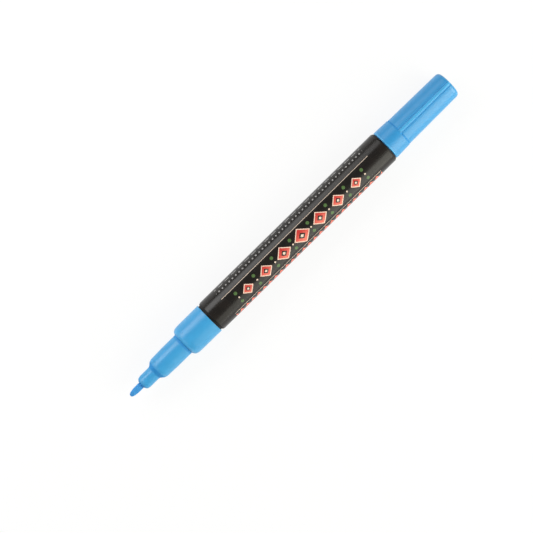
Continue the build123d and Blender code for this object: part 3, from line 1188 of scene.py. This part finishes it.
class MARKER_OT_liner(bpy.types.Operator):
    """Build the liner in the cap that seals the nose"""

    bl_idname = "marker.liner"
    bl_label = "Cap liner"

    def execute(self, context):
        sizes = context.scene.marker_liner
        start, stop = ends("cap_inner_seal")
        radius = girth("cap_inner_seal")
        cup, throat = radius - sizes.wall, sizes.throat_radius
        throat_start = start + sizes.lead_length
        throat_end = throat_start + sizes.throat_length
        floor = stop - sizes.end_thickness
        outline = rounded(
            (start, throat + sizes.lead_height),
            (start, radius, FINE_EDGE * 2),
            (stop, radius, sizes.wall / 2),
            (stop, 0.0, 0),
            (floor, 0.0, 0),
            (floor, cup, FINE_EDGE * 4),
            (throat_end + cup - throat, cup),
            (throat_end, throat),
            (throat_start, throat, FINE_EDGE * 2),
        )
        piece = lathe("cap_liner", outline)
        material = natural_white(context.scene.marker_colours)
        dress(piece, material, "cap", "cap_inner_seal")
        return {"FINISHED"}


class MARKER_OT_valve(bpy.types.Operator):
    """Build the valve's spring and finish the valve and the mixing ball"""

    bl_idname = "marker.valve"
    bl_label = "Valve and ball"

    def execute(self, context):
        sizes, colours = context.scene.marker_spring, context.scene.marker_colours
        start, stop = ends("valve_spring")
        piece = coil("valve_coil", sizes, start, stop, girth("valve_spring"))
        dress(piece, drawn_wire(colours), "barrel", "valve_spring")
        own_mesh(piece)
        refinish("valve_case", natural_white(colours))
        refinish("valve_stem", natural_white(colours))
        refinish("valve_seat", seat_rubber(colours))
        refinish("mixing_ball", ball_steel(colours))
        return {"FINISHED"}


def floor_paper(sizes):
    """White paper that looks white to the camera and in reflections, and keeps some shadow."""
    material = bpy.data.materials.new("studio_paper")
    material.use_nodes = True
    paper = Wiring(material.node_tree)
    where = paper.node("ShaderNodeTexCoord", output="Object")
    tooth = paper.node("ShaderNodeTexNoise", sockets={"Vector": where, "Scale": 900.0})
    tone = paper.mix(tooth, (0.94, 0.94, 0.94), (0.97, 0.97, 0.97))
    lit = paper.node("ShaderNodeBsdfDiffuse", sockets={"Color": tone})
    plain = paper.node("ShaderNodeEmission", sockets={"Color": (1.0, 1.0, 1.0, 1.0)})
    seen, glossy, through = (
        paper.node("ShaderNodeLightPath", output=ray)
        for ray in ("Is Camera Ray", "Is Glossy Ray", "Is Transmission Ray")
    )
    height = paper.node("ShaderNodeSeparateXYZ", sockets={"Vector": where}, output="Z")
    flat = height.fade(2 * MM, MM)
    factor = (seen + (glossy + through) * flat).low(1.0) * sizes.floor_lift
    surface = paper.node("ShaderNodeMixShader", sockets={0: factor, 1: lit, 2: plain})
    paper.node("ShaderNodeOutputMaterial", sockets={"Surface": surface})
    return material


def studio_floor(sizes):
    """A round white floor with an upturned rim."""
    sides, rim_steps, steepest = 96, 18, math.radians(85)
    profile = [(0.05, 0.0), (0.3, 0.0), (sizes.floor_radius, 0.0)]
    for slope in np.linspace(0, steepest, rim_steps)[1:]:
        out = sizes.floor_radius + sizes.sweep_radius * math.sin(slope)
        profile.append((out, sizes.sweep_radius * (1 - math.cos(slope))))
    vertices, faces = [(0.0, 0.0, 0.0)], []
    for n, (radius, height) in enumerate(profile):
        first = len(vertices)
        for side in range(sides):
            turn = TAU * side / sides
            vertices.append((radius * math.cos(turn), radius * math.sin(turn), height))
            here, beside = first + side, first + (side + 1) % sides
            faces.append([here - sides, here, beside, beside - sides] if n else [0, here, beside])
    mesh = bpy.data.meshes.new("studio_floor")
    mesh.from_pydata(vertices, [], faces)
    mesh.polygons.foreach_set("use_smooth", np.ones(len(faces), bool))
    mesh.materials.append(floor_paper(sizes))
    return placed("studio_floor", mesh)


def soft_lamp(name, place, aim, size, brightness, tint):
    """A soft rectangular lamp that faces a place along the marker, with its brightness as seen."""
    lamp = bpy.data.lights.new(name, "AREA")
    lamp.shape = "RECTANGLE"
    lamp.size, lamp.size_y = size
    lamp.energy = brightness * math.pi * size[0] * size[1]
    lamp.color = tint
    stand = placed(name, lamp)
    stand.location = place
    towards = Vector(place) - Vector((aim, 0.0, 0.0))
    stand.rotation_euler = towards.to_track_quat("Z", "Y").to_euler()


class MARKER_OT_stage(bpy.types.Operator):
    """Set up the floor, the lamps and the camera"""

    bl_idname = "marker.stage"
    bl_label = "Studio"

    def execute(self, context):
        scene, sizes = context.scene, context.scene.marker_stage
        floor = studio_floor(sizes)
        scene.world = bpy.data.worlds.new("room")
        scene.world.use_nodes = True
        room = Wiring(scene.world.node_tree)
        grey = (sizes.dome_level, sizes.dome_level, sizes.dome_level, 1.0)
        light = room.node("ShaderNodeBackground", sockets={"Color": grey})
        room.node("ShaderNodeOutputWorld", sockets={"Surface": light})
        white, warm, amber = (1.0, 1.0, 1.0), (1.0, 1.0, 0.89), (1.0, 0.97, 0.72)
        key, fill, side = sizes.key_level, sizes.fill_level, sizes.side_level
        for name, place, aim, size, brightness, tint in (
            ("back_lamp", (-0.18, 0.323, 0.262), -0.18, (0.48, 0.246), key, white),
            ("back_edge_lamp", (0.19, 0.323, 0.262), 0.19, (0.24, 0.246), key * 0.3, white),
            ("front_lamp", (0.18, -0.367, 0.171), 0.18, (0.46, 0.36), fill, warm),
            ("cap_side_lamp", (0.7, -0.7, 0.8), 0.0, (0.9, 0.9), side, warm),
            ("cap_low_lamp", (0.2, -0.22, 0.05), 0.3, (0.16, 0.1), side * 1.5, amber),
            ("nib_side_lamp", (-0.9, 0.0, 1.0), 0.0, (0.9, 0.9), side * 0.25, white),
        ):
            soft_lamp(name, place, aim, size, brightness, tint)
        camera = bpy.data.cameras.new("camera")
        camera.sensor_width = SENSOR_WIDTH
        camera.lens = sizes.focal_pixels * SENSOR_WIDTH / PHOTO_PIXELS
        camera.clip_start, camera.clip_end = 0.01, 20.0
        scene.camera = placed("camera", camera)
        scene.camera.location = (sizes.camera_x, sizes.camera_y, sizes.camera_height)
        scene.camera.rotation_euler = (0.0, 0.0, sizes.camera_turn)
        scene.view_settings.view_transform = "Standard"
        return {"FINISHED"}


OPERATORS = (
    MARKER_OT_nib,
    MARKER_OT_front,
    MARKER_OT_barrel,
    MARKER_OT_film,
    MARKER_OT_tail,
    MARKER_OT_cap,
    MARKER_OT_liner,
    MARKER_OT_valve,
    MARKER_OT_stage,
)


class MARKER_PT_panel(bpy.types.Panel):
    """Lists the marker's pieces"""

    bl_idname = "MARKER_PT_panel"
    bl_label = "Chalk marker"
    bl_space_type = "VIEW_3D"
    bl_region_type = "UI"
    bl_category = "Marker"

    def draw(self, context):
        for operator in OPERATORS:
            self.layout.operator(operator.bl_idname)
        for name, group in SETTINGS.items():
            box = self.layout.box()
            for setting in group.__annotations__:
                box.prop(getattr(context.scene, name), setting)


def register():
    for name, group in SETTINGS.items():
        bpy.utils.register_class(group)
        setattr(bpy.types.Scene, name, PointerProperty(type=group))
    for operator in OPERATORS:
        bpy.utils.register_class(operator)
    bpy.utils.register_class(MARKER_PT_panel)


def unregister():
    bpy.utils.unregister_class(MARKER_PT_panel)
    for operator in reversed(OPERATORS):
        bpy.utils.unregister_class(operator)
    for name, group in SETTINGS.items():
        delattr(bpy.types.Scene, name)
        bpy.utils.unregister_class(group)


def main():
    register()
    bpy.ops.marker.nib()
    bpy.ops.marker.front()
    bpy.ops.marker.barrel()
    bpy.ops.marker.film()
    bpy.ops.marker.tail()
    bpy.ops.marker.cap()
    bpy.ops.marker.liner()
    bpy.ops.marker.valve()
    bpy.ops.marker.stage()


if __name__ == "__main__":
    main()
